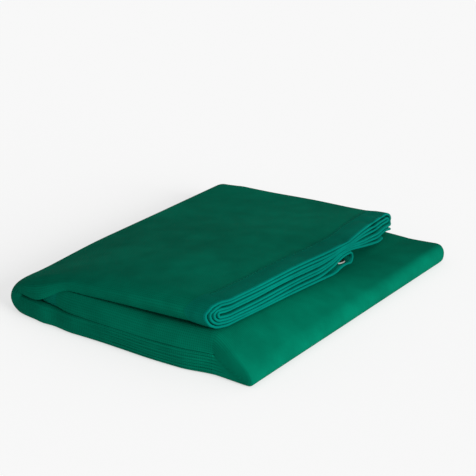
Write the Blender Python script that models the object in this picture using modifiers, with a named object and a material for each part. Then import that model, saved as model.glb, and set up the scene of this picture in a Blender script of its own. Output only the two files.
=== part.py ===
"""Folded fly sheet: one hemmed mesh panel with metal eyelets, folded into a square pack.

The panel is folded to a strip of eight layers, and the strip is folded in three like a
letter. The bottom pass lies on the ground, the middle pass comes back over it from the
front fold, and the top flap comes forward over both from the back fold. The flap turns
on the back fold.

X runs along the strip, towards the front fold. Y runs across it, from the near side,
where the pack is thick, to the far side, where it is thin. Z is up. All sizes are in
metres. The origin is at the middle of the pack's footprint, on the ground.
"""
import math

import bmesh
import bpy
from mathutils import Matrix, Vector

# The pack's plan.
PACK_LENGTH = 0.255
PACK_WIDTH = 0.310
FOLD_DEPTH = 0.0125        # length of pack that the back fold takes
NOSE_DEPTH = 0.0370        # length that the front fold takes, with the slope down to it
SIDE_ROUND = 0.0065        # how far a pass's top and bottom stop short of its sides
FLAP_SETBACK = 0.0360      # front of the pack to the flap's end
FLAP_CORNER_BACK = 0.0220  # how far the flap's far corner hangs behind the rest of its end
FLAP_CORNER_WIDTH = 0.1050 # width over which it does
INNER_SETBACK = 0.0355     # back of the pack to the middle pass's end, under the flap

# Heights, as a pair for the near side and the far side.
BOTTOM_BACK_THICK = (0.0180, 0.0110)
BOTTOM_FRONT_THICK = (0.0190, 0.0064)
MIDDLE_THICK = (0.0175, 0.0076)
NOSE_HEIGHT = (0.0140, 0.0110)
FLAP_BACK_TOP = (0.0315, 0.0235)
FLAP_END_THICK = (0.0235, 0.0200)
FLAP_CROWN = 0.0045        # how much thicker the flap's end is half way across
FLAP_RISE = (2.4, 1.0)     # how early the flap gains its height on its way forward

# Hems, seam threads and eyelets.
HEM_WIDTH = 0.022
HEM_PLY = 0.0012           # three plies of mesh, sewn flat
THREAD_RADIUS = 0.0004
THREAD_INSET = 0.0030      # seam line to the inner edge of the hem
THREAD_STEPS = 40
EYELET_BORE_R = 0.0042
EYELET_FLANGE_R = 0.0080
EYELET_WALL = 0.0006
FLANGE_THICK = 0.0008
EYELET_EDGE = 0.0100       # eyelet centre to the hem's edge
MID_EYELET_INSET = 0.111   # far side of the pack to the middle eyelet
CORNER_EYELET_INSETS = (0.043, 0.021)
EYELET_SIDES = 40

# Clearances and the joint.
REST_GAP = 0.0003          # between pieces that rest on each other
POCKET_GAP = 0.0008        # around an eyelet between the layers
INNER_ROOM = 0.0022        # room for the seam thread over the inner hem
HINGE_OUT = 0.0030         # hinge line beyond the back of the pack
HINGE_HEIGHT = (0.0328, 0.0200)
PAD_CUTS = 11
TIP_ROUND = 0.94           # how nearly a fold's tip closes to an edge
NOSE_FLAT_FROM = 0.78      # share of the front fold's depth where its slope has ended

BACK_X = -PACK_LENGTH / 2
NOSE_X = PACK_LENGTH / 2
FOLD_BACK_X = BACK_X + FOLD_DEPTH
FOLD_FRONT_X = NOSE_X - NOSE_DEPTH
FLAP_END_X = NOSE_X - FLAP_SETBACK
INNER_END_X = BACK_X + INNER_SETBACK
HINGE_X = BACK_X - HINGE_OUT

MESH_GREEN = (0.0, 0.085, 0.052, 1.0)
HEM_GREEN = (0.0, 0.130, 0.090, 1.0)
THREAD_GREEN = (0.0, 0.060, 0.040, 1.0)
NICKEL = (0.70, 0.70, 0.68, 1.0)


def clear_scene():
    for obj in list(bpy.data.objects):
        bpy.data.objects.remove(obj, do_unlink=True)


def make_collection(name):
    collection = bpy.data.collections.new(name)
    bpy.context.scene.collection.children.link(collection)
    return collection


def make_material(name, colour, roughness, metallic):
    material = bpy.data.materials.new(name)
    material.use_nodes = True
    shader = material.node_tree.nodes["Principled BSDF"]
    shader.inputs["Base Color"].default_value = colour
    shader.inputs["Roughness"].default_value = roughness
    shader.inputs["Metallic"].default_value = metallic
    return material


def mix(a, b, t):
    return a + (b - a) * t


def smooth(t):
    t = min(max(t, 0.0), 1.0)
    return t * t * (3.0 - 2.0 * t)


def across(pair, y):
    """Value at y of a quantity given on the near side and on the far side."""
    return mix(pair[0], pair[1], (y + PACK_WIDTH / 2) / PACK_WIDTH)


def flap_end(y):
    corner = max(y - (PACK_WIDTH / 2 - FLAP_CORNER_WIDTH), 0.0) / FLAP_CORNER_WIDTH
    return FLAP_END_X - FLAP_CORNER_BACK * corner


def bottom_top(x, y):
    """Top of the bottom pass."""
    forward = (x - FOLD_BACK_X) / (FOLD_FRONT_X - FOLD_BACK_X)
    return mix(across(BOTTOM_BACK_THICK, y), across(BOTTOM_FRONT_THICK, y), forward)


def middle_under(x, y):
    return bottom_top(x, y) + REST_GAP


def stack_top(x, y):
    """Top of the lower stack, which is the top of the middle pass."""
    return bottom_top(x, y) + across(MIDDLE_THICK, y)


def flap_under(x, y):
    """Underside of the top flap, which comes down to the crease behind the middle pass."""
    over_inner = stack_top(x, y) + REST_GAP
    lifted = over_inner + INNER_ROOM * (1.0 - smooth((x - INNER_END_X) / (2 * HEM_WIDTH) - 0.5))
    crease = bottom_top(FOLD_BACK_X, y) + REST_GAP
    return mix(crease, lifted, smooth((x - FOLD_BACK_X) / (INNER_END_X - FOLD_BACK_X)))


def crowned(y):
    """1 half way across the pack, falling to 0 at its sides."""
    return 1.0 - (2.0 * y / PACK_WIDTH) ** 2


def flap_top(x, y):
    end_x = flap_end(y)
    along = min(max((x - BACK_X) / (end_x - BACK_X), 0.0), 1.0)
    at_end = stack_top(end_x, y) + across(FLAP_END_THICK, y) + FLAP_CROWN * crowned(y)
    rise = 1.0 - (1.0 - along) ** across(FLAP_RISE, y)
    return mix(across(FLAP_BACK_TOP, y), at_end, rise)


def subdivided_box(name, cuts=PAD_CUTS):
    bm = bmesh.new()
    bmesh.ops.create_cube(bm, size=1.0)
    bmesh.ops.subdivide_edges(bm, edges=bm.edges[:], cuts=cuts, use_grid_fill=True)
    mesh = bpy.data.meshes.new(name)
    bm.to_mesh(mesh)
    bm.free()
    return mesh


def finish(name, mesh, material, collection, parent=None):
    mesh.materials.append(material)
    obj = bpy.data.objects.new(name, mesh)
    collection.objects.link(obj)
    if parent is not None:
        obj.parent = parent
        obj.matrix_parent_inverse = Matrix.Translation(-parent.location)
    return obj


def side_inset(level):
    """How far the side of a pass stands in, at a level from -0.5 at its underside to 0.5."""
    return SIDE_ROUND * (1.0 - math.sqrt(max(1.0 - 4.0 * level * level, 0.0)))


def padded_pass(name, x_low, x_high, z_low, z_high):
    """A pass of the strip as one soft block: its ends and heights are functions of place."""
    mesh = subdivided_box(name)
    for vert in mesh.vertices:
        along, side, level = vert.co
        y = side * (PACK_WIDTH - 2 * side_inset(level))
        x = mix(x_low(y), x_high(y), along + 0.5)
        vert.co = (x, y, mix(z_low(x, y), z_high(x, y), level + 0.5))
    return mesh


def rounded_fold(name, inner_x, outer_x, height, round_from):
    """A fold as one block on the ground, rounded off over the last share of its depth.

    The height is a function of the share of the depth and of y.
    """
    mesh = subdivided_box(name)
    for vert in mesh.vertices:
        along, side, level = vert.co
        out = (along + 0.5) if outer_x > inner_x else (0.5 - along)
        tip = max(out - round_from, 0.0) / (1.0 - round_from)
        x = mix(inner_x, outer_x, out)
        y = side * (PACK_WIDTH - 2 * side_inset(level))
        tall = height(out, y)
        vert.co = (x, y, tall / 2 + tall * level * math.sqrt(1.0 - TIP_ROUND * tip * tip))
    return mesh


def make_lower_stack(collection, material):
    front = FOLD_FRONT_X - REST_GAP
    bottom = padded_pass("bottom_pass", lambda y: FOLD_BACK_X + REST_GAP, lambda y: front,
                         lambda x, y: 0.0, bottom_top)
    finish("bottom_pass", bottom, material, collection)
    middle = padded_pass("middle_pass", lambda y: INNER_END_X + HEM_WIDTH + REST_GAP,
                         lambda y: front, middle_under, stack_top)
    finish("middle_pass", middle, material, collection)
    nose = rounded_fold(
        "front_fold", FOLD_FRONT_X, NOSE_X,
        lambda out, y: mix(stack_top(FOLD_FRONT_X, y), across(NOSE_HEIGHT, y),
                           smooth(out / NOSE_FLAT_FROM)),
        NOSE_FLAT_FROM)
    finish("front_fold", nose, material, collection)


def make_back_fold(collection, material):
    fold = rounded_fold("back_fold", FOLD_BACK_X, BACK_X,
                        lambda out, y: across(FLAP_BACK_TOP, y), 0.0)
    finish("back_fold", fold, material, collection)


def make_flap(collection, material, hinge):
    flap = padded_pass(
        "top_flap", lambda y: FOLD_BACK_X + REST_GAP,
        lambda y: flap_end(y) - HEM_WIDTH - REST_GAP, flap_under, flap_top)
    finish("top_flap", flap, material, collection, hinge)


def make_hem(name, x_low, x_high, z_low, z_high, collection, material, parent=None):
    return finish(name, padded_pass(name, x_low, x_high, z_low, z_high), material,
                  collection, parent)


def box_cutter(name, low, high, collection):
    bm = bmesh.new()
    bmesh.ops.create_cube(bm, size=1.0)
    size = Vector(high) - Vector(low)
    bmesh.ops.scale(bm, verts=bm.verts, vec=size)
    bmesh.ops.translate(bm, verts=bm.verts, vec=(Vector(low) + Vector(high)) / 2)
    return make_cutter(name, bm, collection)


def make_cutter(name, bm, collection):
    mesh = bpy.data.meshes.new(name)
    bm.to_mesh(mesh)
    bm.free()
    cutter = bpy.data.objects.new(name, mesh)
    cutter.hide_render = True
    cutter.display_type = "WIRE"
    collection.objects.link(cutter)
    return cutter


def hole_cutter(name, centre, radius, depth, collection):
    bm = bmesh.new()
    bmesh.ops.create_cone(bm, cap_ends=True, segments=EYELET_SIDES, radius1=radius,
                          radius2=radius, depth=depth, matrix=Matrix.Translation(centre))
    return make_cutter(name, bm, collection)


def cut(obj, cutter):
    boolean = obj.modifiers.new(cutter.name, "BOOLEAN")
    boolean.operation = "DIFFERENCE"
    boolean.solver = "EXACT"
    boolean.object = cutter


def cut_eyelet_seat(hem, centre, outward, cutters):
    """Part the layers around one hem ply and bore it, so that an eyelet can clamp it."""
    room = FLANGE_THICK + REST_GAP + POCKET_GAP
    half = EYELET_FLANGE_R + POCKET_GAP
    inner = centre[0] - outward * half
    outer = centre[0] + outward * 2 * EYELET_EDGE
    for side in (-1, 1):
        near_z = centre[2] + side * HEM_PLY / 2
        far_z = near_z + side * room
        low = (min(inner, outer), centre[1] - half, min(near_z, far_z))
        high = (max(inner, outer), centre[1] + half, max(near_z, far_z))
        level = "upper" if side > 0 else "lower"
        cut(hem, box_cutter(f"{hem.name}_{level}_gap_{len(hem.modifiers)}", low, high, cutters))
    bore = EYELET_BORE_R + EYELET_WALL + REST_GAP
    cut(hem, hole_cutter(f"{hem.name}_bore_{len(hem.modifiers)}", centre, bore,
                         HEM_PLY + room, cutters))


def turned_ring(name, profile, centre, material, collection, parent):
    """A closed profile of (radius, height) points turned round the eyelet's axis."""
    mesh = bpy.data.meshes.new(name)
    points = [(radius, 0.0, height) for radius, height in profile]
    edges = [(i, (i + 1) % len(points)) for i in range(len(points))]
    mesh.from_pydata(points, edges, [])
    ring = finish(name, mesh, material, collection, parent)
    ring.location = centre
    screw = ring.modifiers.new("turn", "SCREW")
    screw.steps = EYELET_SIDES
    screw.render_steps = EYELET_SIDES
    screw.use_merge_vertices = True
    screw.merge_threshold = 0.00002
    screw.use_smooth_shade = True
    return ring


def make_eyelet(name, centre, collection, material, parent=None):
    """The two halves of a riveted eyelet: a flanged barrel and the washer under the ply."""
    top = HEM_PLY / 2 + REST_GAP
    foot = -(HEM_PLY / 2 + REST_GAP + FLANGE_THICK)
    bore = EYELET_BORE_R
    wall = EYELET_BORE_R + EYELET_WALL
    barrel = [(bore, foot), (bore, top + FLANGE_THICK * 0.7), (wall, top + FLANGE_THICK),
              (EYELET_FLANGE_R - EYELET_WALL, top + FLANGE_THICK),
              (EYELET_FLANGE_R, top), (wall, top), (wall, foot)]
    turned_ring(f"{name}_barrel", barrel, centre, material, collection, parent)
    inner = wall + REST_GAP
    washer = [(inner, foot), (inner, -top), (EYELET_FLANGE_R, -top),
              (EYELET_FLANGE_R - EYELET_WALL, foot)]
    turned_ring(f"{name}_washer", washer, centre, material, collection, parent)


def make_seam(name, seam_x, surface, collection, material, parent=None):
    """The row of stitching that holds a hem, laid along the hem on its top face."""
    curve = bpy.data.curves.new(name, "CURVE")
    curve.dimensions = "3D"
    curve.bevel_depth = THREAD_RADIUS
    curve.bevel_resolution = 2
    curve.use_fill_caps = True
    curve.materials.append(material)
    spline = curve.splines.new("POLY")
    spline.points.add(THREAD_STEPS)
    reach = PACK_WIDTH - 4 * SIDE_ROUND
    for index, point in enumerate(spline.points):
        y = reach * (index / THREAD_STEPS - 0.5)
        x = seam_x(y)
        point.co = (x, y, surface(x, y) + THREAD_RADIUS + 2 * REST_GAP, 1.0)
    obj = bpy.data.objects.new(name, curve)
    collection.objects.link(obj)
    if parent is not None:
        obj.parent = parent
        obj.matrix_parent_inverse = Matrix.Translation(-parent.location)
    return obj


def eyelet_places(hem_end, level):
    """Centres of a hem's eyelets: one at its middle loop and one at each open corner."""
    insets = {"mid": MID_EYELET_INSET, "upper_corner": CORNER_EYELET_INSETS[1],
              "lower_corner": CORNER_EYELET_INSETS[0]}
    places = {}
    for name, inset in insets.items():
        y = PACK_WIDTH / 2 - inset
        x = hem_end(y)
        places[name] = (x, y, level(name, x, y))
    return places


def make_flap_end(collection, cutters, hinge, hem_green, thread_green, nickel):
    inner_edge = lambda y: flap_end(y) - HEM_WIDTH
    hem = make_hem("flap_hem", inner_edge, flap_end, flap_under, flap_top, collection,
                   hem_green, hinge)
    shares = {"mid": 0.20, "upper_corner": 0.34, "lower_corner": 0.16}

    def level(name, x, y):
        return mix(flap_under(x, y), flap_top(x, y), shares[name])

    places = eyelet_places(lambda y: flap_end(y) - EYELET_EDGE, level)
    for name, centre in places.items():
        cut_eyelet_seat(hem, centre, 1, cutters)
        make_eyelet(f"flap_{name}_eyelet", centre, collection, nickel, hinge)
    make_seam("flap_hem_seam", lambda y: inner_edge(y) + THREAD_INSET, flap_top,
              collection, thread_green, hinge)


def make_inner_end(collection, cutters, hem_green, thread_green, nickel):
    hem = make_hem("inner_hem", lambda y: INNER_END_X, lambda y: INNER_END_X + HEM_WIDTH,
                   middle_under, stack_top, collection, hem_green)

    def level(name, x, y):
        return (middle_under(x, y) + stack_top(x, y)) / 2

    places = eyelet_places(lambda y: INNER_END_X + EYELET_EDGE, level)
    for name, centre in places.items():
        cut_eyelet_seat(hem, centre, -1, cutters)
        make_eyelet(f"inner_{name}_eyelet", centre, collection, nickel)
    make_seam("inner_hem_seam", lambda y: INNER_END_X + HEM_WIDTH - THREAD_INSET,
              stack_top, collection, thread_green)


def make_hinge(collection):
    """The line on the back fold that the flap turns on."""
    hinge = bpy.data.objects.new("flap_hinge", None)
    hinge.location = (HINGE_X, 0.0, across(HINGE_HEIGHT, 0.0))
    collection.objects.link(hinge)
    return hinge


def main():
    clear_scene()
    parts = make_collection("folded_fly_sheet")
    cutters = make_collection("cutters")
    mesh_green = make_material("green_net", MESH_GREEN, 0.75, 0.0)
    hem_green = make_material("green_net_hem", HEM_GREEN, 0.7, 0.0)
    thread_green = make_material("polyester_thread", THREAD_GREEN, 0.6, 0.0)
    nickel = make_material("nickelled_brass", NICKEL, 0.25, 1.0)
    hinge = make_hinge(parts)
    make_lower_stack(parts, mesh_green)
    make_back_fold(parts, mesh_green)
    make_flap(parts, mesh_green, hinge)
    make_flap_end(parts, cutters, hinge, hem_green, thread_green, nickel)
    make_inner_end(parts, cutters, hem_green, thread_green, nickel)


main()
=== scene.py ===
# %% [markdown]
# # A folded fly sheet
# A fly sheet is one large panel of fine green net, hemmed all round, with metal eyelets
# in the hem. Here it lies folded for the shelf: the panel is folded to a strip of eight
# layers, and the strip is folded in three like a letter. This lesson dresses the plain
# blocks of the design model with the real layers of cloth.

# %% Load the design model as a fixed frame
import math

import bmesh
import bpy
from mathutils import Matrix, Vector, noise


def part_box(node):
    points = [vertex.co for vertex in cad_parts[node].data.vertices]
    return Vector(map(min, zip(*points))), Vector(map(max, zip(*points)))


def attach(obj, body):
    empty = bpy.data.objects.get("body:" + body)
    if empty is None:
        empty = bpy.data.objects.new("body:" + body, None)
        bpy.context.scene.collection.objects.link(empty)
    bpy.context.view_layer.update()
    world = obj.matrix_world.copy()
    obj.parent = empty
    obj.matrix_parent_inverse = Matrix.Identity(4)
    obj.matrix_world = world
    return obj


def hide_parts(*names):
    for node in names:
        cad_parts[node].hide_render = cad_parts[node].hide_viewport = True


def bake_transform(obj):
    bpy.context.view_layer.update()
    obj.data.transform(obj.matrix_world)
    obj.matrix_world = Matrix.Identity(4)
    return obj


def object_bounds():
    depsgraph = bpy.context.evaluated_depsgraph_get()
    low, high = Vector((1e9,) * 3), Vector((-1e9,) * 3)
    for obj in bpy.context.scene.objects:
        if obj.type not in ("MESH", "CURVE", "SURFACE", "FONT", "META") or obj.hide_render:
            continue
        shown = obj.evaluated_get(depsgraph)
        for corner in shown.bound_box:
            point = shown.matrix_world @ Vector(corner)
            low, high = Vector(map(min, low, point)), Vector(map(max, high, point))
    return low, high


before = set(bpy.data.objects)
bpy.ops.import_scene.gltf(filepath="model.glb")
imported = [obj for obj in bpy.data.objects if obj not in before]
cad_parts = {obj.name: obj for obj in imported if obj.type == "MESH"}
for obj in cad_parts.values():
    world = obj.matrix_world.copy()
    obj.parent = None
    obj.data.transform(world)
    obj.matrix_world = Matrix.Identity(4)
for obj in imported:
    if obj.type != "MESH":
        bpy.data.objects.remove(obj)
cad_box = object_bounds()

print("design box:", [[round(c, 4) for c in corner] for corner in cad_box])

# %% [markdown]
# ## Sizes
# The plan sizes are read from the design model's boxes, so the cloth always fits the
# blocks that it stands for. The heights slope from the near side of the pack, which is
# thick, to the far side, which is thin, so each one is a pair of values. One function
# reads a pair at any place across the pack.

# %% Plan sizes from the frame
PACK_LOW, PACK_HIGH = (Vector(corner) for corner in cad_box)
BACK_X, NOSE_X = PACK_LOW.x, PACK_HIGH.x
NEAR_Y, FAR_Y = PACK_LOW.y, PACK_HIGH.y
PACK_WIDTH = FAR_Y - NEAR_Y
FOLD_BACK_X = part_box("back_fold")[1][0]
FOLD_FRONT_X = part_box("front_fold")[0][0]
FLAP_END_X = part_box("flap_hem")[1][0]
INNER_END_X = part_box("inner_hem")[0][0]
HEM_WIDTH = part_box("inner_hem")[1][0] - INNER_END_X
FOLD_DEPTH = FOLD_BACK_X - BACK_X
NOSE_DEPTH = NOSE_X - FOLD_FRONT_X
FLAP_CORNER_BACK = 0.0220   # how far the flap's far corner hangs behind its end
FLAP_CORNER_WIDTH = 0.1050  # width over which it does
print(f"pack {NOSE_X - BACK_X:.3f} by {PACK_WIDTH:.3f} m, hem {HEM_WIDTH:.3f} m")

# %% Heights, as pairs for the near and the far side
BOTTOM_BACK_THICK = (0.0180, 0.0110)
BOTTOM_FRONT_THICK = (0.0190, 0.0064)
MIDDLE_THICK = (0.0175, 0.0076)
NOSE_HEIGHT = (0.0175, 0.0165)
FLAP_BACK_TOP = (0.0315, 0.0205)
FLAP_END_THICK = (0.0235, 0.0200)
FLAP_CROWN = 0.0045         # how much thicker the flap's end is half way across
FLAP_RISE = (2.4, 1.0)      # how early the flap gains its height on its way forward
CORNER_DROOP = 0.0045       # how far the near back corner has sunk
DROOP_LENGTH, DROOP_WIDTH = 0.070, 0.130
INNER_ROOM = 0.0022         # room over the inner hem
REST_GAP = 0.0003           # between folds that rest on each other
NOSE_FLAT_FROM = 0.78       # share of the front fold's depth where its slope has ended
print("nose height, near and far:", NOSE_HEIGHT)


# %% Mixing and fading
def mix(a, b, t):
    return a + (b - a) * t


def clamp(t, low=0.0, high=1.0):
    return min(max(t, low), high)


def smooth(t):
    t = clamp(t)
    return t * t * (3.0 - 2.0 * t)


def between(x, low, high):
    """0 up to one place, 1 from another on, and smooth between them."""
    return smooth((x - low) / (high - low))


def across(pair, y):
    """Value at y of a quantity given on the near side and on the far side."""
    return mix(pair[0], pair[1], clamp((y - NEAR_Y) / PACK_WIDTH))


print(f"half way across, the nose is {across(NOSE_HEIGHT, 0.0):.4f} m high")


# %% Heights and ends at a place
def flap_end(y):
    """Where the flap ends at y: straight, and then back towards its far corner."""
    corner = max(y - (FAR_Y - FLAP_CORNER_WIDTH), 0.0) / FLAP_CORNER_WIDTH
    return FLAP_END_X - FLAP_CORNER_BACK * corner


def bottom_top(x, y):
    forward = (x - FOLD_BACK_X) / (FOLD_FRONT_X - FOLD_BACK_X)
    return mix(across(BOTTOM_BACK_THICK, y), across(BOTTOM_FRONT_THICK, y), forward)


def middle_under(x, y):
    return bottom_top(x, y) + REST_GAP


def stack_top(x, y):
    return bottom_top(x, y) + across(MIDDLE_THICK, y)


def flap_under(x, y):
    over_inner = stack_top(x, y) + REST_GAP
    past_hem = smooth((x - INNER_END_X) / (2 * HEM_WIDTH) - 0.5)
    lifted = over_inner + INNER_ROOM * (1.0 - past_hem)
    crease = bottom_top(FOLD_BACK_X, y) + REST_GAP
    return mix(crease, lifted, between(x, FOLD_BACK_X, INNER_END_X))


def flap_top(x, y):
    end_x = flap_end(y)
    along = clamp((x - BACK_X) / (end_x - BACK_X))
    crown = FLAP_CROWN * (1.0 - (2.0 * y / PACK_WIDTH) ** 2)
    at_end = stack_top(end_x, y) + across(FLAP_END_THICK, y) + crown
    rise = 1.0 - (1.0 - along) ** across(FLAP_RISE, y)
    from_corner = smooth((x - BACK_X) / DROOP_LENGTH), smooth((y - NEAR_Y) / DROOP_WIDTH)
    droop = CORNER_DROOP * (1.0 - from_corner[0]) * (1.0 - from_corner[1])
    return mix(across(FLAP_BACK_TOP, y), at_end, rise) - droop


print(f"flap's front edge: {flap_top(FLAP_END_X, NEAR_Y):.4f} m high at the near corner")

# %% [markdown]
# ## How the panel is folded to a strip
# Cut across, the strip is one cloth line that runs to and fro eight times. It starts at
# the panel's open edge in layer 5, turns back at the near side into layer 4, goes round
# the far side into layer 1, round the whole near side into layer 8, and so on to its
# other open edge in layer 6. Layers 7 and 8 end in a loop a third of the width short of
# the far side. The line is written as a list of places, each one with its y and its
# layer number, where a number between two layers is part of a turn.

# %% The cloth line across the strip
LAYERS = 8
LOOP_Y = FAR_Y - 0.098      # where the loop of layers 7 and 8 ends
OPEN_EDGE_Y = {5: FAR_Y - 0.004, 6: FAR_Y - 0.026}
NEAR_DEPTH = 0.0088         # how deep the widest turns at the near side are
FAR_DEPTH = 0.0090
FAR_LAYERS = 3              # layers that the widest turn at the far side goes over
LOOP_DEPTH = 0.0062
TURN_STEPS = 16
OUTER_TURN_STEPS = 64       # the turn round the near side shows, so it is finer
LAYER_STEP = 0.0055


def turn(y, depth, start, end):
    """A half turn from one layer to another, bulging by its depth to one side of y."""
    middle = (start + end) / 2
    steps = OUTER_TURN_STEPS if abs(end - start) == LAYERS - 1 else TURN_STEPS
    places = []
    for index in range(steps + 1):
        angle = math.pi * index / steps
        level = middle - (end - start) / 2 * math.cos(angle)
        places.append((y + depth * math.sin(angle), level))
    return places


def near_turn(start, end):
    depth = NEAR_DEPTH * abs(end - start) / (LAYERS - 1)
    return turn(NEAR_Y + NEAR_DEPTH, -depth, start, end)


def far_turn(start, end):
    depth = FAR_DEPTH * abs(end - start) / FAR_LAYERS
    return turn(FAR_Y - FAR_DEPTH, depth, start, end)


def loop_turn(start, end):
    return turn(LOOP_Y - LOOP_DEPTH, LOOP_DEPTH, start, end)


def cloth_line():
    """Places (y, layer) along the whole cloth line, with the straight runs filled in."""
    bends = [
        [(OPEN_EDGE_Y[5], 5.0)], near_turn(5, 4), far_turn(4, 1), near_turn(1, 8),
        loop_turn(8, 7), near_turn(7, 2), far_turn(2, 3), near_turn(3, 6),
        [(OPEN_EDGE_Y[6], 6.0)],
    ]
    line = list(bends[0])
    for bend in bends[1:]:
        (y_from, level), y_to = line[-1], bend[0][0]
        count = max(round(abs(y_to - y_from) / LAYER_STEP), 1)
        for index in range(1, count):
            line.append((mix(y_from, y_to, index / count), level))
        line += bend
    return line


LINE = cloth_line()
LINE_LENGTH = sum(abs(b[0] - a[0]) for a, b in zip(LINE, LINE[1:]))
print(f"cloth line: {len(LINE)} places, about {LINE_LENGTH:.2f} m of net across the strip")

# %% [markdown]
# ## Where each layer lies in the thickness
# A layer number becomes a share of the thickness: 0 is the skin that ends up outside,
# 1 is the skin that faces the inside of the letter fold. On the near side eight layers
# share the thickness and past the loop only six do. At the flap's open end the loop
# stands open, as a soft fold does when nothing presses on it.

# %% Shares of the thickness
SKIN_OUT = 0.02             # share left outside the first layer
SKIN_IN = (0.05, 0.015)     # share left inside the last one, at the back fold and beyond
SKIN_FROM, SKIN_LENGTH = -0.112, 0.030
END_SHARES = (0.05, 0.16, 0.30, 0.41, 0.57, 0.68, 0.82, 0.94)   # in pairs, at the end
LOOP_SHARES = (0.03, 0.11, 0.19, 0.27, 0.35, 0.43, 0.51, 0.96)  # over the open loop
SPREAD_LENGTH = 0.060       # length across the strip over which the loop opens
FAR_SPREAD_LENGTH = 0.090   # length past the loop over which the layers close up


def last_share(x):
    return 1.0 - mix(*SKIN_IN, smooth((x - SKIN_FROM) / SKIN_LENGTH))


def even_share(x, level, count):
    return mix(SKIN_OUT, last_share(x), (level - 1) / (count - 1))


def listed_share(level, shares):
    below = min(int(level), len(shares) - 1)
    return mix(shares[below - 1], shares[below], level - below)


def layer_share(x, y, level, openness=0.0):
    eight = mix(even_share(x, level, LAYERS), listed_share(level, END_SHARES), openness)
    opened = smooth((y - (LOOP_Y - SPREAD_LENGTH)) / (SPREAD_LENGTH - LOOP_DEPTH)) * openness
    eight = mix(eight, listed_share(level, LOOP_SHARES), opened)
    if level > LAYERS - 2:
        return eight
    closed = smooth((y - (LOOP_Y - LOOP_DEPTH)) / FAR_SPREAD_LENGTH)
    return mix(eight, even_share(x, level, LAYERS - 2), closed)


print("shares at the near side:", [round(layer_share(0, NEAR_Y, n), 2) for n in range(1, 9)])

# %% [markdown]
# ## Soft, uneven cloth
# Nothing in a folded sheet is exactly flat. Two kinds of unevenness are added in code. A
# slow one moves every piece at a place together, so pieces that rest on each other stay
# in contact. A fast and small one moves single layers. Both come from Blender's noise
# function, which gives the same value each time.

# %% Unevenness
SWELL_LENGTH = 0.085        # size of the slow hollows and swells
SWELL_HEIGHT = 0.035        # their share of the height
SWELL_FADE = 0.030          # length over which they rise, from none at the back fold
SWELL_SEED, SIDE_SEED = 3.7, 9.2        # places in the noise, so that no pattern repeats
LAYER_WAVE_LENGTH = 0.040   # of the small waves of single layers, along the strip
LAYER_WAVE_WIDTH = 1.6      # how many times longer they are across it
LAYER_WAVE_SHIFT = 5.3      # how far apart the layers' patterns are in the noise


def swell(x, y, seed=0.0):
    return noise.noise(Vector((x / SWELL_LENGTH, y / SWELL_LENGTH, seed)))


def layer_wave(x, y, level):
    """A share of the layer spacing, between about -1 and 1."""
    across_strip = y / (LAYER_WAVE_WIDTH * LAYER_WAVE_LENGTH)
    return noise.noise(Vector((x / LAYER_WAVE_LENGTH, across_strip, level * LAYER_WAVE_SHIFT)))


print(f"slow swell at the middle: {swell(0, 0, SWELL_SEED):+.2f} of {SWELL_HEIGHT}")

# %% [markdown]
# ## Soft edges
# The sides of the design model's blocks are straight, and those of cloth are soft. The
# sides wander a little, their foot bulges out, and the near back corner is round. It is
# one rule that moves points, applied last, so all sheets move together.

# %% Settling the pack
SIDE_SWELL = 0.0016         # how far the sides wander in and out
SIDE_FROM, SIDE_WIDTH = 0.10, 0.055     # from the middle, and over which they set in
SIDE_SHORTER = (1.4, 3.0)   # their pattern is shorter along the side and upwards
NEAR_WIDTH = 0.050          # width of the near side that is shaped
PROUD = 0.0038              # how far the near side's foot and the nose bulge out
PROUD_FLAT, PROUD_HEIGHT = 0.012, 0.030     # fully up to here, and fading above it
BACK_PROUD = 0.0065         # how far the back fold bulges out at the near side
BULGE = 0.0045              # how much further the near side bulges along its middle
BULGE_FROM, BULGE_TO, BULGE_FADE = -0.086, 0.060, 0.035
CORNER_FROM = -0.0950       # where the near back corner starts to be rounded in plan
CORNER_INSET = (0.0120, 0.0200)         # how far it is drawn in, at its foot and higher up
INSET_FROM, INSET_HEIGHT = 0.008, 0.018
PUCKER_X, PUCKER_LENGTH = -0.086, 0.009     # a small lobe beside the rounded corner
PUCKER_DEPTH = 0.0022


def settle(point):
    """Move a point of the finished pack to where the soft cloth has it."""
    x, y, z = point
    uneven = SWELL_HEIGHT * swell(x, y, SWELL_SEED) * smooth((x - FOLD_BACK_X) / SWELL_FADE)
    edge = smooth((abs(y) - SIDE_FROM) / SIDE_WIDTH)
    side = SIDE_SWELL * edge * swell(x * SIDE_SHORTER[0], z * SIDE_SHORTER[1], SIDE_SEED)
    near = 1.0 - smooth((y - NEAR_Y) / NEAR_WIDTH)
    low = 1.0 - smooth((z - PROUD_FLAT) / PROUD_HEIGHT)
    round_off = clamp((CORNER_FROM - x) / (CORNER_FROM - BACK_X))
    inset = mix(*CORNER_INSET, smooth((z - INSET_FROM) / INSET_HEIGHT))
    side += inset * (1.0 - math.sqrt(1.0 - round_off ** 2)) * near
    side -= PUCKER_DEPTH * math.exp(-((x - PUCKER_X) / PUCKER_LENGTH) ** 2) * near * low
    along = smooth((x - BULGE_FROM) / BULGE_FADE) * (1.0 - smooth((x - BULGE_TO) / BULGE_FADE))
    side -= (PROUD + BULGE * along) * near * low
    forward = PROUD * smooth((x - FOLD_FRONT_X) / NOSE_DEPTH)
    forward -= BACK_PROUD * smooth((FOLD_BACK_X - x) / FOLD_DEPTH) * near
    return Vector((x + forward, y + side, z * (1.0 + uneven)))


foot = settle(Vector((0.0, NEAR_Y, 0.0)))
print(f"the near side's foot bulges out by {NEAR_Y - foot.y:.4f} m")

# %% [markdown]
# ## The passes and the folds of the strip
# Each stretch of the strip is a function that turns a place across the strip and a share
# of the thickness into a point. In the two folds the layers turn round the inner crease:
# each one is the outer skin drawn smaller towards that crease.

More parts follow.
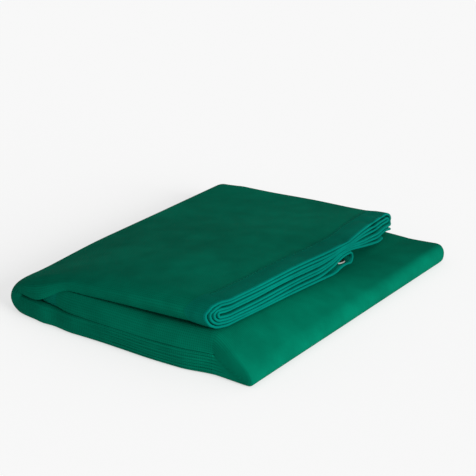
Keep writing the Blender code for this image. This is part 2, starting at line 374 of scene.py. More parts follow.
# %% The sides
FLAP_SIDE_TOP = (0.0270, 0.0150)  # depth of the rounding on top, at the back and front
FLAP_SIDE_UNDER = (0.0015, 0.0120)  # of the crease under the flap, shallow at the back
UNDER_FROM, UNDER_TO = -0.060, 0.040
TOP_TO_UNDER = 1.6                # how soon the one gives way to the other
LOWER_SIDE = 0.0075               # depth of the rounding of the passes under the flap
GROUND_SHARE = 0.8                # of it, at the ground
COVERED_TOP = 0.0015              # on top of the middle pass, under the flap
SIDE_FADE = 0.035                 # width past the turns over which the layers follow
SQUARE_GROUND = 0.30              # powers under 1 make a rounding squarer
SQUARE_CREASE = 0.60
SQUARE_FAR = 0.60
CREASE_SIDE = (0.0060, 0.0004)    # rounding into the crease, at the back and front
CREASE_FROM, CREASE_TO = -0.085, -0.020
DRAPE_FROM, DRAPE_TO = -0.100, -0.058    # where the flap's side stops covering the inner end
COVERED_SIDE = 0.0180             # rounding of the inner end, where the flap covers it
RIDGE_DEPTH = 0.0010              # depth of the lines between the layers at the side
RIDGE_FROM, RIDGE_FULL = -0.060, 0.020
RIDGE_FADE = 0.6                  # share of the turns' depth over which they set in
RIDGE_WANDER, RIDGE_SEED = 0.8, 5.1  # how far they wander up and down
FRONT_SIDE_X = 0.030              # where the flap's side starts to get deeper


def shaped_side(y, depth, power):
    """Move y where a layer turns at the near side, to a rounding of another shape."""
    inside = (y - NEAR_Y) / NEAR_DEPTH
    if inside < 1.0:
        return NEAR_Y + depth * (1.0 - (1.0 - inside) ** power)
    fade = 1.0 - smooth((y - NEAR_Y - NEAR_DEPTH) / SIDE_FADE)
    return y + (depth - NEAR_DEPTH) * fade


def far_side(y, power):
    inside = (FAR_Y - y) / FAR_DEPTH
    if inside >= 1.0:
        return y
    return FAR_Y - FAR_DEPTH * (1.0 - (1.0 - inside) ** power)


def flap_side(x, share):
    """The depth and the power of the near side's rounding, for the flap."""
    top = mix(*FLAP_SIDE_TOP, between(x, FRONT_SIDE_X, FLAP_END_X))
    under = mix(*FLAP_SIDE_UNDER, between(x, UNDER_FROM, UNDER_TO))
    return mix(top, under, smooth(share * TOP_TO_UNDER)), 1.0


def crease_side(x):
    return mix(*CREASE_SIDE, between(x, CREASE_FROM, CREASE_TO))


def bottom_side(x, share):
    depth = mix(GROUND_SHARE * LOWER_SIDE, crease_side(x), share)
    return depth, mix(SQUARE_GROUND, SQUARE_CREASE, share)


def draped(x):
    """How fully the flap's side hangs over the inner end, from 1 at the back to 0."""
    return 1.0 - between(x, DRAPE_FROM, DRAPE_TO)


def middle_side(x, share):
    above = mix(COVERED_TOP, LOWER_SIDE, between(x, UNDER_FROM, UNDER_TO))
    above = mix(above, COVERED_SIDE, draped(x))
    return mix(above, crease_side(x), share), mix(1.0, SQUARE_CREASE, smooth(share))


def ridged(x, y, share):
    """Push the near side in and out a little where the edges of the layers show."""
    if y > NEAR_Y + NEAR_DEPTH:
        return y
    here = between(x, RIDGE_FROM, RIDGE_FULL)
    side = clamp((NEAR_Y + NEAR_DEPTH - y) / (RIDGE_FADE * NEAR_DEPTH))
    phase = math.pi * (share * (LAYERS - 1) + RIDGE_WANDER * swell(x, 0.0, RIDGE_SEED))
    return y + RIDGE_DEPTH * here * side * (1.0 - abs(math.sin(phase))) ** 2


print(f"the flap's side is rounded by {flap_side(FLAP_END_X, 0.0)[0]:.4f} m at its end")

# %% [markdown]
# ## Three flat passes
# The bottom pass lies on the ground, the middle pass lies on it, and the flap lies on
# top. On the real pack the flap's side also hangs over the hidden inner end at the back.
# The same rule places all three: a layer's share of the thickness decides its height,
# and the rounding of the near side comes from the turns between layers.

# %% The flat passes
LAYER_WAVE_SHARE = 0.022    # height of the single layers' waves, of the thickness
WAVE_RISE = 8               # they are full from an eighth of the thickness inwards
HEM_THICK = 0.0024          # three plies of net, loosely pressed
INNER_HEM_THICK = 0.0011
NET_THICK = 0.0005
HANG_FLAT, HANG_WIDTH = 0.003, 0.010    # the flap's side hangs over this much of the inner end
OPEN_LENGTH, OPEN_FADE = 0.110, 0.080   # length of the flap whose layers stand open
TUCK_DEPTH, TUCK_WIDTH = 0.0045, 0.045  # how far the inner end's near side is tucked in


def waved(share, x, y, level):
    """The share of a layer with its own small waves, none on the two outer skins."""
    inside = clamp(min(share, 1.0 - share) * WAVE_RISE)
    return share + LAYER_WAVE_SHARE * inside * layer_wave(x, y, level)


def flap_hang(x, y):
    """The flap's underside, which hangs down over the inner end at the near side."""
    on_inner = stack_top(x, y) + 2 * REST_GAP
    low = mix(on_inner, bottom_top(x, y) + 2 * REST_GAP, draped(x))
    edge = 1.0 - smooth((y - NEAR_Y - HANG_FLAT) / HANG_WIDTH)
    return mix(flap_under(x, y), low, edge)


def flap_place(x, y, level):
    """A point of the flap, and its share of the thickness."""
    near_end = smooth((x - (FLAP_END_X - OPEN_LENGTH)) / OPEN_FADE)
    share = waved(layer_share(x, y, level, near_end), x, y, level)
    y = far_side(shaped_side(y, *flap_side(x, share)), mix(SQUARE_FAR, 1.0, near_end))
    return Vector((x, y, mix(flap_top(x, y), flap_hang(x, y), share))), share


def on_bottom(x, y, level):
    share = waved(layer_share(x, y, level), x, y, level)
    y = far_side(shaped_side(y, *bottom_side(x, share)), SQUARE_FAR)
    y = ridged(x, y, share)
    return Vector((x, y, mix(NET_THICK / 2, bottom_top(x, y), share)))


def middle_place(x, y, level):
    share = waved(layer_share(x, y, level), x, y, level)
    y = far_side(shaped_side(y, *middle_side(x, share)), SQUARE_FAR)
    tuck = TUCK_DEPTH * draped(x) * (1.0 - smooth((y - NEAR_Y) / TUCK_WIDTH))
    return Vector((x, y + tuck, mix(stack_top(x, y), middle_under(x, y), share))), share


print(f"net {NET_THICK} m thick, hem {HEM_THICK} m")

# %% [markdown]
# ## Where an eyelet holds a layer
# An eyelet is clamped on one layer of the hem and pushes its neighbours apart. The
# eyelets are already in the design model, so the cloth goes to them: each one's layer
# rises to its height, with the layers over it moved by their part of that.

# %% Layers at the eyelets
EYELET_FLAT = 0.0084        # radius that an eyelet's flanges press flat
EYELET_FADE = 0.0130        # length over which the cloth round it falls back
FLAP_EYELETS = {"flap_mid_eyelet": 8, "flap_upper_corner_eyelet": 5,
                "flap_lower_corner_eyelet": 6}    # each with the layer that it holds
INNER_EYELETS = {"inner_mid_eyelet": 5, "inner_upper_corner_eyelet": 3,
                 "inner_lower_corner_eyelet": 3}


def eyelet_centre(name):
    low, high = (Vector(corner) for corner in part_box(name + "_barrel"))
    return (low + high) / 2


CENTRES = {name: eyelet_centre(name) for name in (*FLAP_EYELETS, *INNER_EYELETS)}


def near_eyelet(point, name, fade=EYELET_FADE):
    """1 on an eyelet's flanges, falling to 0 over the fade length round them."""
    centre = CENTRES[name]
    away = math.hypot(point[0] - centre.x, point[1] - centre.y)
    return 1.0 - smooth((away - EYELET_FLAT) / fade)


def seats(place_of, eyelets):
    """For each eyelet, its layer's share and how far that layer has to rise to meet it."""
    found = {}
    for name, level in eyelets.items():
        point, share = place_of(CENTRES[name].x, CENTRES[name].y, level)
        found[name] = (share, CENTRES[name].z - settle(point).z)
    return found


def seated(point, share, found):
    """Move a point up with the layer that an eyelet near it holds."""
    for name, (own_share, rise) in found.items():
        point.z += rise * near_eyelet(point, name) * clamp(share / own_share)
    return point


FLAP_SEATS = seats(flap_place, FLAP_EYELETS)
INNER_SEATS = seats(middle_place, INNER_EYELETS)


def on_flap(x, y, level):
    return seated(*flap_place(x, y, level), FLAP_SEATS)


def on_middle(x, y, level):
    return seated(*middle_place(x, y, level), INNER_SEATS)


print("layers rise at the eyelets by:",
      [round(rise, 4) for _, rise in (*FLAP_SEATS.values(), *INNER_SEATS.values())])

# %% [markdown]
# ## The front fold
# All layers turn upwards here in one smooth nose, which slopes down from the top of the
# stack to a low, rounded tip. Its outline could be drawn as a curve and lofted. It is
# written as a profile, because every layer inside follows the same outline, drawn
# smaller towards the crease.

# %% The front fold
NOSE_SLOPE_STEPS = 12
NOSE_TURN_STEPS = 10
NOSE_SQUARE_UNDER = 0.40    # powers that make the tip squarer, under and above
NOSE_SQUARE_ABOVE = 0.90
NOSE_SLOPE_POWER = 1.3      # over 1, so that the slope starts gently and steepens
TIP_SIDE = 0.6              # share of LOWER_SIDE by which the tip's near side is rounded
TIP_SQUARE_FAR = 0.5        # power of the rounding at the tip's far side


def nose_profile():
    """Pairs (share of the fold's depth, side from -1 under to 1 above) round the skin."""
    under = [(NOSE_FLAT_FROM * i / NOSE_SLOPE_STEPS, -1.0) for i in range(NOSE_SLOPE_STEPS)]
    tip = []
    for index in range(-NOSE_TURN_STEPS, NOSE_TURN_STEPS + 1):
        angle = math.pi / 2 * index / NOSE_TURN_STEPS
        square = NOSE_SQUARE_UNDER if angle < 0 else NOSE_SQUARE_ABOVE
        depth = mix(NOSE_FLAT_FROM, 1.0, max(math.cos(angle), 0.0) ** square)
        tip.append((depth, math.sin(angle)))
    return under + tip + [(depth, 1.0) for depth, _ in reversed(under)]


def on_nose(place, y, level):
    """A point in the front fold, at a place (depth, side) of its outer profile."""
    depth, side = place
    share = waved(layer_share(FOLD_FRONT_X, y, level), FOLD_FRONT_X, y, level)
    above = smooth((1.0 + side) / 2)
    under_side = bottom_side(FOLD_FRONT_X, share)
    above_side = middle_side(FOLD_FRONT_X, share)
    tip = smooth(depth / NOSE_FLAT_FROM)
    round_depth = mix(mix(under_side[0], above_side[0], above), TIP_SIDE * LOWER_SIDE, tip)
    power = mix(mix(under_side[1], above_side[1], above), SQUARE_GROUND, tip)
    y = far_side(shaped_side(y, round_depth, power), mix(SQUARE_FAR, TIP_SQUARE_FAR, tip))
    x = mix(FOLD_FRONT_X, NOSE_X - NET_THICK / 2, depth)
    y = mix(ridged(x, y, share), y, max(above, tip))
    slope = (depth / NOSE_FLAT_FROM) ** NOSE_SLOPE_POWER
    tall = mix(stack_top(FOLD_FRONT_X, y), across(NOSE_HEIGHT, y), slope)
    skin_z = mix(NET_THICK / 2, tall, (1.0 + side) / 2)
    crease_z = bottom_top(FOLD_FRONT_X, y) + REST_GAP * above
    return Vector((mix(x, FOLD_FRONT_X, share), y, mix(skin_z, crease_z, share)))


print("front fold profile:", len(nose_profile()), "places")

# %% [markdown]
# ## The back fold
# The cloth turns up from the ground into the flap. When the flap opens, only a thin band
# at the height of the crease bends, so the rows of points lie close together there.

# %% The back fold
BEND_HEIGHT = 0.0006        # height of the band at the crease, which bends when the flap opens
BEND_STEPS = 12             # rows in the band
FOLD_STEPS = 8              # rows below it, and as many above it


def crease_height(y):
    return bottom_top(FOLD_BACK_X, y) + REST_GAP / 2


def on_back_fold(step, y, level):
    """A point in the back fold. Steps run from the ground to the top, close together
    where the layer crosses the crease's height."""
    share = waved(layer_share(FOLD_BACK_X, y, level), FOLD_BACK_X, y, level)
    reach = 1.0 - share
    crease = crease_height(y)
    tall = flap_top(BACK_X + FOLD_DEPTH / 2, y)
    band = []
    for side in (-1, 1):
        skin_z = crease + side * BEND_HEIGHT / 2 / reach
        band.append(math.acos(clamp(1.0 - 2.0 * skin_z / tall, -1.0, 1.0)))
    if step <= FOLD_STEPS:
        angle = band[0] * step / FOLD_STEPS
    elif step >= FOLD_STEPS + BEND_STEPS:
        angle = mix(band[1], math.pi, (step - FOLD_STEPS - BEND_STEPS) / FOLD_STEPS)
    else:
        lift = mix(-0.5, 0.5, (step - FOLD_STEPS) / BEND_STEPS)
        skin_z = crease + lift * BEND_HEIGHT / reach
        angle = math.acos(clamp(1.0 - 2.0 * skin_z / tall, -1.0, 1.0))
    upper = smooth(angle / math.pi)
    sides = zip(bottom_side(FOLD_BACK_X, share), flap_side(FOLD_BACK_X, share))
    y = far_side(shaped_side(y, *(mix(a, b, upper) for a, b in sides)), SQUARE_FAR)
    skin_x = FOLD_BACK_X - (FOLD_DEPTH - NET_THICK / 2) * math.sin(angle)
    skin_z = mix(NET_THICK / 2, flap_top(skin_x, y), (1.0 - math.cos(angle)) / 2)
    inner_z = mix(bottom_top(FOLD_BACK_X, y), flap_hang(FOLD_BACK_X, y), upper)
    return Vector((mix(skin_x, FOLD_BACK_X, share), y, mix(skin_z, inner_z, share)))


print(f"crease of the back fold: {crease_height(0.0):.4f} m high half way across")

# %% [markdown]
# ## From a rule to a sheet
# A sheet is a grid: the cloth line in one direction and the stations along the strip in
# the other. It is built row by row in mesh code, because each vertex has its own place
# in the folding, and then given its thickness with Solidify. The grid also fills in a UV
# map in real metres along the cloth, which the weave of the material follows.

# %% The sheet builder
SMOOTH_ANGLE = math.radians(50)


def deselect_all():
    bpy.ops.object.select_all(action="DESELECT")


def apply_modifiers(obj):
    deselect_all()
    obj.select_set(True)
    bpy.context.view_layer.objects.active = obj
    for modifier in list(obj.modifiers):
        bpy.ops.object.modifier_apply(modifier=modifier.name)
    bpy.ops.object.shade_smooth_by_angle(angle=SMOOTH_ANGLE)
    obj.select_set(False)


def lengths(points):
    total = [0.0]
    for a, b in zip(points, points[1:]):
        total.append(total[-1] + (b - a).length)
    return total


def grid_sheet(name, rows, thickness, fullness=None):
    """A sheet through rows of points, with a share of its thickness at each if given."""
    bm = bmesh.new()
    uv_layer = bm.loops.layers.uv.new("cloth")
    middle_row = rows[len(rows) // 2]
    us = lengths(middle_row)
    vs = lengths([row[len(row) // 2] for row in rows])
    place = {}
    grid = []
    for v, row in zip(vs, rows):
        verts = [bm.verts.new(settle(point)) for point in row]
        place.update({vert: (u, v) for vert, u in zip(verts, us)})
        grid.append(verts)
    for low, high in zip(grid, grid[1:]):
        for i in range(len(low) - 1):
            face = bm.faces.new((low[i], low[i + 1], high[i + 1], high[i]))
            for loop in face.loops:
                loop[uv_layer].uv = place[loop.vert]
    area = sum(face.calc_area() for face in bm.faces)
    mesh = bpy.data.meshes.new(name)
    bm.to_mesh(mesh)
    bm.free()
    obj = bpy.data.objects.new(name, mesh)
    bpy.context.scene.collection.objects.link(obj)
    solid = obj.modifiers.new("thickness", "SOLIDIFY")
    solid.thickness = thickness
    solid.offset = 0.0
    if fullness is not None:
        full = obj.vertex_groups.new(name="fullness")
        for index, share in enumerate(share for row in fullness for share in row):
            full.add([index], share, "REPLACE")
        solid.vertex_group = full.name
    apply_modifiers(obj)
    flat = (us[-1], area / us[-1])
    print(f"{name}: flat {flat[0]:.2f} by {flat[1]:.3f} m, {len(obj.data.polygons)} faces")
    return obj, flat


# %% [markdown]
# ## The net on the flap
# The flap is the part of the strip that is folded forward over the rest. Its end is the
# hemmed edge of the panel, so the net stops a little inside the hem, between its plies,
# and the hem is a piece of its own.

# %% Flap net
ALONG_STEP = 0.0048
PLY_LAP = 0.0030            # how far the net runs in between the hem's plies
END_STAGGER = 0.0022        # how unevenly the layers' ends lie
STAGGER_SCALE = (0.45, 9.0)  # of its noise, over the layers and along their ends
STAGGER_SEED = 1.3
NEAR_DRAWN = 0.0085         # how far the near turns' ends are drawn back
NEAR_DRAWN_WIDTH = 0.020
CORNER_LIP = 0.0030         # how far the lower layers reach past the others, past the loop
LIP_LAYER, LIP_WIDTH = 3.0, 0.025   # the last layer without it, and how soon it sets in


def stagger(level, y):
    place = (level * STAGGER_SCALE[0], y * STAGGER_SCALE[1], STAGGER_SEED)
    return END_STAGGER * noise.noise(Vector(place))


def end_line(level, y):
    """Where a layer of the flap ends: its near turn is drawn back a little."""
    drawn = NEAR_DRAWN * (1.0 - clamp((y - NEAR_Y) / NEAR_DRAWN_WIDTH)) ** 2
    lip = CORNER_LIP * smooth(level - LIP_LAYER) * smooth((y - LOOP_Y) / LIP_WIDTH)
    return flap_end(y) - drawn + lip + stagger(level, y)


def straight(x):
    """A line across the strip that has the same x for all layers."""
    return lambda level, y: x


def flap_line(inset=0.0):
    return lambda level, y: end_line(level, y) - inset


def rows_between(rule, start, end, places):
    """Rows of points at places, from 0 to 1, between two lines across the strip."""
    return [[rule(mix(start(level, y), end(level, y), place), y, level)
             for y, level in LINE] for place in places]


def even_places(count):
    return [index / count for index in range(count + 1)]


steps = round((FLAP_END_X - HEM_WIDTH - FOLD_BACK_X) / ALONG_STEP)
flap_rows = rows_between(on_flap, straight(FOLD_BACK_X), flap_line(HEM_WIDTH - PLY_LAP),
                         even_places(steps))
flap_net, flap_flat = grid_sheet("flap_net", flap_rows, NET_THICK)

# %% [markdown]
# ## The hem at the flap's end
# The edge of the net is turned under twice and sewn, so the hem is several times as
# thick as the net. It is thin along its seam, plump in the middle, round at its folded
# edge and pressed flat under each eyelet. Solidify takes that from a vertex group.

# %% Flap hem
HEM_PLACES = (0.0, 0.12, 0.24, 0.36, 0.48, 0.60, 0.71, 0.81, 0.89, 0.94, 0.965, 0.985, 1.0)
SEWN_SHARE = 0.36           # the sewn edge is pressed nearly as thin as the net
PLUMP_FROM = 0.55           # place in the hem's width where it is at its full thickness
EDGE_ROUND = 0.060          # share of the width over which the folded edge is rounded
EDGE_LEAST = 0.25           # share of the thickness left at the edge itself
PRESSED_SHARE = 0.45        # left of the thickness between an eyelet's two flanges
PRESS_FADE = 0.0012         # round the flanges the hem is soon as thick as before


def hem_fullness(rows, eyelets):
    """Each point's share of the hem's full thickness."""
    table = []
    for place, row in zip(HEM_PLACES, rows):
        sewn = mix(SEWN_SHARE, 1.0, smooth(place / PLUMP_FROM))
        depth = clamp((place - (1.0 - EDGE_ROUND)) / EDGE_ROUND)
        edge = max(math.sqrt(1.0 - depth ** 2), EDGE_LEAST)
        shares = []
        for point in row:
            pressed = max(near_eyelet(point, eyelet, PRESS_FADE) for eyelet in eyelets)
            shares.append(sewn * edge * mix(1.0, PRESSED_SHARE, pressed))
        table.append(shares)
    return table


hem_rows = rows_between(on_flap, flap_line(HEM_WIDTH), flap_line(), HEM_PLACES)
flap_hem, flap_hem_flat = grid_sheet(
    "flap_end_hem", hem_rows, HEM_THICK, hem_fullness(hem_rows, FLAP_EYELETS))

# %% [markdown]
# ## The net of the lower stack
# The bottom pass lies on the ground, turns up round the front fold and comes back as the
# middle pass, which ends in the inner hem under the flap.

# %% Lower net
def line_up(rule, stations):
    return [[rule(station, y, level) for y, level in LINE] for station in stations]


def inner_line(inset=0.0):
    return lambda level, y: INNER_END_X + inset + stagger(level, -y)


steps = round((FOLD_FRONT_X - FOLD_BACK_X) / ALONG_STEP)
bottom_rows = rows_between(on_bottom, straight(FOLD_BACK_X), straight(FOLD_FRONT_X),
                           even_places(steps))
nose_rows = line_up(on_nose, nose_profile())
steps = round((FOLD_FRONT_X - INNER_END_X - HEM_WIDTH) / ALONG_STEP)
middle_rows = rows_between(on_middle, straight(FOLD_FRONT_X),
                           inner_line(HEM_WIDTH - PLY_LAP), even_places(steps))
bottom_net, bottom_flat = grid_sheet(
    "bottom_net", bottom_rows + nose_rows[1:NOSE_SLOPE_STEPS + 1], NET_THICK)
middle_net, middle_flat = grid_sheet(
    "middle_net", nose_rows[NOSE_SLOPE_STEPS:] + middle_rows[1:], NET_THICK)

# %% [markdown]
# ## The hem at the inner end
# It is the same hem at the other end of the strip. The flap lies on it, so its layers
# are pressed closer together.

# %% Inner hem
hem_rows = rows_between(on_middle, inner_line(HEM_WIDTH), inner_line(), HEM_PLACES)
inner_hem, inner_hem_flat = grid_sheet(
    "inner_end_hem", hem_rows, INNER_HEM_THICK, hem_fullness(hem_rows, INNER_EYELETS))

# %% [markdown]
# ## The stitches
# A lockstitch shows as a row of short threads lying along the seam, with a small gap
# between them where the thread dips into the hem. One row holds each hem down, close to
# its sewn edge. Each stitch is a short curve with a round bevel that follows the top
# layer, its two ends a little lower than its middle.

# %% Stitch rows
STITCH_PITCH = 0.0045
STITCH_LENGTH = 0.0036
THREAD_RADIUS = 0.00040
THREAD_INSET = 0.0020       # from the hem's sewn edge
SEAM_MARGIN = 0.0130        # the row ends this far from the pack's sides
SEAM_LIFT = 0.2             # of the hem's thickness, from the middle of its top layer
STITCH_PLACES = ((0, 1), (0.25, 0), (0.75, 0), (1, 1))   # along it, and 1 where it is low


def stitch_row(name, rule, seam_x, lift):
    curve = bpy.data.curves.new(name, "CURVE")
    curve.dimensions = "3D"
    curve.bevel_depth = THREAD_RADIUS
    curve.bevel_resolution = 2
    curve.use_fill_caps = True
    count = round((PACK_WIDTH - 2 * SEAM_MARGIN) / STITCH_PITCH)
    for index in range(count):
        start = NEAR_Y + SEAM_MARGIN + index * STITCH_PITCH
        spline = curve.splines.new("POLY")
        spline.points.add(len(STITCH_PLACES) - 1)
        for point, (along, low) in zip(spline.points, STITCH_PLACES):
            y = start + STITCH_LENGTH * along
            x, y, z = settle(rule(seam_x(y), y, 1.0))
            point.co = (x, y, z + lift + THREAD_RADIUS * (0.5 - low), 1.0)
    row = bpy.data.objects.new(name, curve)
    bpy.context.scene.collection.objects.link(row)
    deselect_all()
    row.select_set(True)
    bpy.context.view_layer.objects.active = row
    bpy.ops.object.convert(target="MESH")
    bpy.ops.object.shade_smooth()
    print(f"{name}: {count} stitches")
    return bpy.context.view_layer.objects.active


flap_stitches = stitch_row(
    "flap_hem_stitches", on_flap,
    lambda y: end_line(1.0, y) - HEM_WIDTH + THREAD_INSET, SEAM_LIFT * HEM_THICK)
inner_stitches = stitch_row(
    "inner_hem_stitches", on_middle,
    lambda y: INNER_END_X + HEM_WIDTH - THREAD_INSET, SEAM_LIFT * INNER_HEM_THICK)

# %% [markdown]
# ## The back fold
# All eight layers turn here from the bottom pass up into the flap, and this is where the
# cloth bends when the flap is turned open.

# %% Back fold net
fold_rows = line_up(on_back_fold, range(2 * FOLD_STEPS + BEND_STEPS + 1))
back_net, back_flat = grid_sheet("back_fold_net", fold_rows, NET_THICK)

# %% [markdown]
# ## Building materials from nodes
# A material here is a few nodes, each added by one small function that also makes its
# links. Colours are written as hex values, as a colour picker gives them, and turned to
# the linear values that Blender calculates with.

# %% Material helpers
def linear(hex_colour):
    """An sRGB hex colour as linear RGBA."""
    channels = [int(hex_colour[i:i + 2], 16) / 255 for i in (1, 3, 5)]
    return (*[c / 12.92 if c <= 0.04045 else ((c + 0.055) / 1.055) ** 2.4 for c in channels], 1.0)


def add_node(material, kind, inputs=None, **settings):
    """Add one node, with its settings, and its inputs as values or as sockets to link."""
    tree = material.node_tree
    node = tree.nodes.new(kind)
    for name, value in settings.items():
        setattr(node, name, value)
    for socket, value in (inputs or {}).items():
        if isinstance(value, bpy.types.NodeSocket):
            tree.links.new(value, node.inputs[socket])
        else:
            node.inputs[socket].default_value = value
    return node


def new_material(name):
    material = bpy.data.materials.new(name)
    material.use_nodes = True
    material.node_tree.nodes.clear()
    return material


def put_out(material, shader):
    output = add_node(material, "ShaderNodeOutputMaterial")
    material.node_tree.links.new(shader.outputs[0], output.inputs["Surface"])
    return material


print("the net's green, linear:", [round(c, 4) for c in linear("#005f49")])

# %% [markdown]
# ## Net
# The sheet is knitted from thin green polyethylene tape. It is matt, because light is
# caught between the tapes, and only a faint sheen shows on its curves. The weave is two
# sine waves on the cloth's own UV map in metres, with the thread lighter than the gaps
# and a little bump. Slow clouds of tone keep the large faces from looking printed. The
# hem uses the same net, a little bluer, and its folded edge is painted lighter. This is a
# painted highlight for the low key light that catches the edge. On the Mix nodes, input 0
# is the share and inputs 6 and 7 are the two colours.

# %% Net material
LIT_EDGE_FROM, LIT_EDGE_FADE = 0.0190, 0.0015   # from its sewn edge, where a hem's painted edge highlight starts
MESH_PITCH = 0.0019         # 1 mm on the real net, drawn coarser so that it shows
TONE_SIZES = (0.070, 0.016)  # sizes of the cloudy lighter and darker places
TONE_AMOUNTS = (0.16, 0.08)


def clouded(material, colour):
    """The colour, a little lighter and darker in slow clouds, as handled net looks."""
    place = add_node(material, "ShaderNodeTexCoord").outputs["Object"]
    for size, amount in zip(TONE_SIZES, TONE_AMOUNTS):
        cloud = add_node(material, "ShaderNodeTexNoise", {"Vector": place,
                         "Scale": 1.0 / size, "Detail": 2.0})
        value = add_node(material, "ShaderNodeMapRange", {"Value": cloud.outputs["Fac"],
                         "From Min": 0.3, "From Max": 0.7, "To Min": 1.0 - amount,
                         "To Max": 1.0 + amount})
        tinted = add_node(material, "ShaderNodeHueSaturation", {
                          "Value": value.outputs[0], "Color": colour})
        colour = tinted.outputs[0]
    return colour


def net_material(name, thread, gap, edge=None):
    material = new_material(name)
    coords = add_node(material, "ShaderNodeUVMap", uv_map="cloth")
    parts = add_node(material, "ShaderNodeSeparateXYZ", {"Vector": coords.outputs["UV"]})
    waves = []
    for axis in ("X", "Y"):
        turns = add_node(material, "ShaderNodeMath", {0: parts.outputs[axis],
                         1: 2 * math.pi / MESH_PITCH}, operation="MULTIPLY")
        waves.append(add_node(material, "ShaderNodeMath", {0: turns.outputs[0]},
                              operation="SINE"))
    weave = add_node(material, "ShaderNodeMath", {0: waves[0].outputs[0],
                     1: waves[1].outputs[0]}, operation="MAXIMUM")
    level = add_node(material, "ShaderNodeMapRange", {"Value": weave.outputs[0],
                     "From Min": -1.0, "From Max": 1.0})
    colour = add_node(material, "ShaderNodeMix", {0: level.outputs[0], 6: linear(gap),
                      7: linear(thread)}, data_type="RGBA")
    shade = colour.outputs[2]
    # The hem's folded edge is given a lighter colour. This is a painted highlight where the low
    # key light catches the edge.
    if edge is not None:
        painted_highlight_mask = add_node(material, "ShaderNodeMapRange", {"Value": parts.outputs["Y"],
                             "From Min": LIT_EDGE_FROM, "From Max": LIT_EDGE_FROM + LIT_EDGE_FADE})
        edge_highlighted = add_node(material, "ShaderNodeMix", {0: painted_highlight_mask.outputs[0], 6: shade,
                         7: linear(edge)}, data_type="RGBA")
        shade = edge_highlighted.outputs[2]
    shade = clouded(material, shade)
    bump = add_node(material, "ShaderNodeBump", {"Height": level.outputs[0],
                    "Strength": 0.35, "Distance": 0.0003})
    shader = add_node(material, "ShaderNodeBsdfPrincipled", {
        "Base Color": shade, "Normal": bump.outputs[0], "Roughness": 0.85,
        "Specular IOR Level": 0.01, "Sheen Weight": 0.06, "Sheen Roughness": 0.5,
        "Sheen Tint": linear("#00a080")})
    return put_out(material, shader)


green_net = net_material("knitted_polyethylene_net", "#005f49", "#004c3a")
# The edge colour here is a painted highlight of the key light on the hem's folded edge. It is not
# a colour of the net.
hem_net_with_painted_highlight = net_material("sewn_net_hem_painted_edge_highlight", "#005f4e", "#005040", edge="#006357")


def dress(obj, material):
    obj.data.materials.clear()
    obj.data.materials.append(material)


for obj in (flap_net, bottom_net, middle_net, back_net):
    dress(obj, green_net)
for obj in (flap_hem, inner_hem):
    dress(obj, hem_net_with_painted_highlight)
print(f"weave: {HEM_WIDTH / MESH_PITCH:.0f} threads across a hem")

# %% [markdown]
# ## Sewing thread
# A spun polyester thread is duller than the net's tape and is dyed to match it. A fine
# diagonal wave stands for its twist.

# %% Thread material
TWIST_PITCH = 0.0011        # of the two-ply thread, drawn coarser so that it shows
thread_green = new_material("spun_polyester_thread")
coords = add_node(thread_green, "ShaderNodeTexCoord")
twist = add_node(thread_green, "ShaderNodeTexWave", {"Vector": coords.outputs["Object"],
                 "Scale": math.pi / (10 * TWIST_PITCH)}, bands_direction="DIAGONAL")
bump = add_node(thread_green, "ShaderNodeBump", {"Height": twist.outputs["Fac"],
                "Strength": 0.4, "Distance": 0.0002})
put_out(thread_green, add_node(thread_green, "ShaderNodeBsdfPrincipled", {
    "Base Color": linear("#004c3b"), "Normal": bump.outputs[0], "Roughness": 0.8,
    "Specular IOR Level": 0.03}))
for obj in (flap_stitches, inner_stitches):
    dress(obj, thread_green)
print(f"twist: {STITCH_LENGTH / TWIST_PITCH:.1f} turns in a stitch")

# %% [markdown]
# ## Eyelets
# The eyelets are pressed from brass sheet and nickel plated, so they are bright and
# nearly smooth, with faint dents from the setting punch. Noise drives both the roughness
# and a weak bump. As for every metal, the colour is the reflection's colour.

# %% Eyelet material
HAMMER_SIZE = 0.0015        # of the faint dents left by the setting punch
nickel = new_material("nickelled_pressed_brass")
coords = add_node(nickel, "ShaderNodeTexCoord")
dents = add_node(nickel, "ShaderNodeTexNoise", {"Vector": coords.outputs["Object"],
                 "Scale": 1.0 / HAMMER_SIZE, "Detail": 3.0})
rough = add_node(nickel, "ShaderNodeMapRange", {"Value": dents.outputs["Fac"],
                 "To Min": 0.16, "To Max": 0.34})
bump = add_node(nickel, "ShaderNodeBump", {"Height": dents.outputs["Fac"],
                "Strength": 0.15, "Distance": 0.0002})
put_out(nickel, add_node(nickel, "ShaderNodeBsdfPrincipled", {
    "Base Color": linear("#d9d8d2"), "Metallic": 1.0, "Roughness": rough.outputs[0],
    "Normal": bump.outputs[0]}))
eyelet_nodes = [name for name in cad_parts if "eyelet" in name]
for name in eyelet_nodes:
    dress(bpy.data.objects[name], nickel)
print("eyelet pieces:", len(eyelet_nodes))

# %% [markdown]
# ## What moves with what
# The flap is one body and the rest of the pack is the other. The back fold's transform is
# baked, and it is attached to neither body. Each cloth piece also takes the place of the
# plain block that the design model has for it.

# %% Bodies
for obj in (bottom_net, middle_net, inner_hem, inner_stitches):
    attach(obj, "lower_stack")
for obj in (flap_net, flap_hem, flap_stitches):
    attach(obj, "flap")
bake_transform(back_net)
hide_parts("top_flap")
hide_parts("flap_hem")
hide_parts("flap_hem_seam")
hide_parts("bottom_pass", "front_fold")
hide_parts("middle_pass")
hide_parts("inner_hem")
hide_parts("inner_hem_seam")
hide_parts("back_fold")

# %% [markdown]
# ## The flat size of the cloth
# Each sheet's flat size is found as it is built: its width across the strip, and the
# area that was built divided by that width. Here the flap net's width is printed.


print(f"across the strip, the flap's net is {flap_flat[0]:.2f} m of cloth")
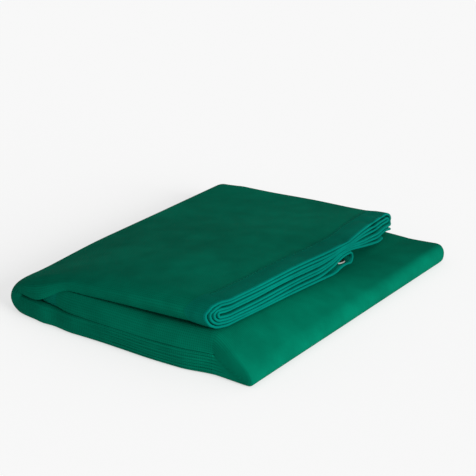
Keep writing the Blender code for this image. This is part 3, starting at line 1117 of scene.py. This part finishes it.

# %% [markdown]
# ## A bright studio
# A product like this is shown on a pale floor that merges with the backdrop. The floor
# glows a little by itself, so it stays nearly white with a soft shadow. One low, wide
# key light from the front makes the rounded nose and the hem brighter than the top. The
# hem's folded edge also carries a painted highlight in its colour.

# %% Floor
FLOOR_SIZE = 12.0
FLOOR_DROP = 0.0004         # under the cloth, so that the two never share a surface
FLOOR_GLOW = 0.62
WHITE = "#ffffff"
bpy.ops.mesh.primitive_plane_add(size=FLOOR_SIZE, location=(0.0, 0.0, -FLOOR_DROP))
floor = bpy.context.active_object
floor.name = "studio_floor"
floor_material = new_material("pale_floor")
put_out(floor_material, add_node(floor_material, "ShaderNodeBsdfPrincipled", {
    "Base Color": linear("#a4a4a4"), "Roughness": 0.9, "Specular IOR Level": 0.0,
    "Emission Color": linear(WHITE), "Emission Strength": FLOOR_GLOW}))
dress(floor, floor_material)
print("floor:", FLOOR_SIZE, "m square")

# %% Light
world = bpy.data.worlds.new("studio_light")
bpy.context.scene.world = world
world.use_nodes = True
background = world.node_tree.nodes["Background"]
background.inputs["Color"].default_value = linear(WHITE)
background.inputs["Strength"].default_value = 0.50

KEY_STRENGTH = 4.6
KEY_SPREAD = math.radians(35)   # wide, for a soft shadow
KEY_HEIGHT = math.radians(14)
KEY_TURN = math.radians(-10)    # from +X towards the near side
key_data = bpy.data.lights.new("key_light", "SUN")
key_data.energy = KEY_STRENGTH
key_data.angle = KEY_SPREAD
key = bpy.data.objects.new("key_light", key_data)
bpy.context.scene.collection.objects.link(key)
to_key = Vector((math.cos(KEY_TURN) * math.cos(KEY_HEIGHT),
                 math.sin(KEY_TURN) * math.cos(KEY_HEIGHT), math.sin(KEY_HEIGHT)))
key.rotation_euler = to_key.to_track_quat("Z", "Y").to_euler()
print("towards the key light:", [round(c, 3) for c in to_key])

# %% [markdown]
# ## The camera
# A long lens from about two metres keeps the edges nearly parallel. The camera looks
# down a little and across the near corner, so the layered end, the nose and the near
# side all show.

# %% Camera
CAMERA_TILT = math.radians(23.02)
CAMERA_TURN = math.radians(34.81)
CAMERA_DISTANCE = 1.962
CAMERA_SHIFT = (0.0053, 0.0418)   # metres sideways and up, in the camera's own plane
CAMERA_LENS = 166.4
away = Vector((math.sin(CAMERA_TURN) * math.cos(CAMERA_TILT),
               -math.cos(CAMERA_TURN) * math.cos(CAMERA_TILT), math.sin(CAMERA_TILT)))
right = Vector((math.cos(CAMERA_TURN), math.sin(CAMERA_TURN), 0.0))
up = away.cross(right)
camera_data = bpy.data.cameras.new("camera")
camera_data.lens = CAMERA_LENS
camera = bpy.data.objects.new("camera", camera_data)
bpy.context.scene.collection.objects.link(camera)
camera.location = right * CAMERA_SHIFT[0] + up * CAMERA_SHIFT[1] + away * CAMERA_DISTANCE
camera.rotation_euler = away.to_track_quat("Z", "Y").to_euler()
bpy.context.scene.camera = camera
bpy.context.scene.view_settings.view_transform = "Standard"
print("camera at", [round(c, 3) for c in camera.location])
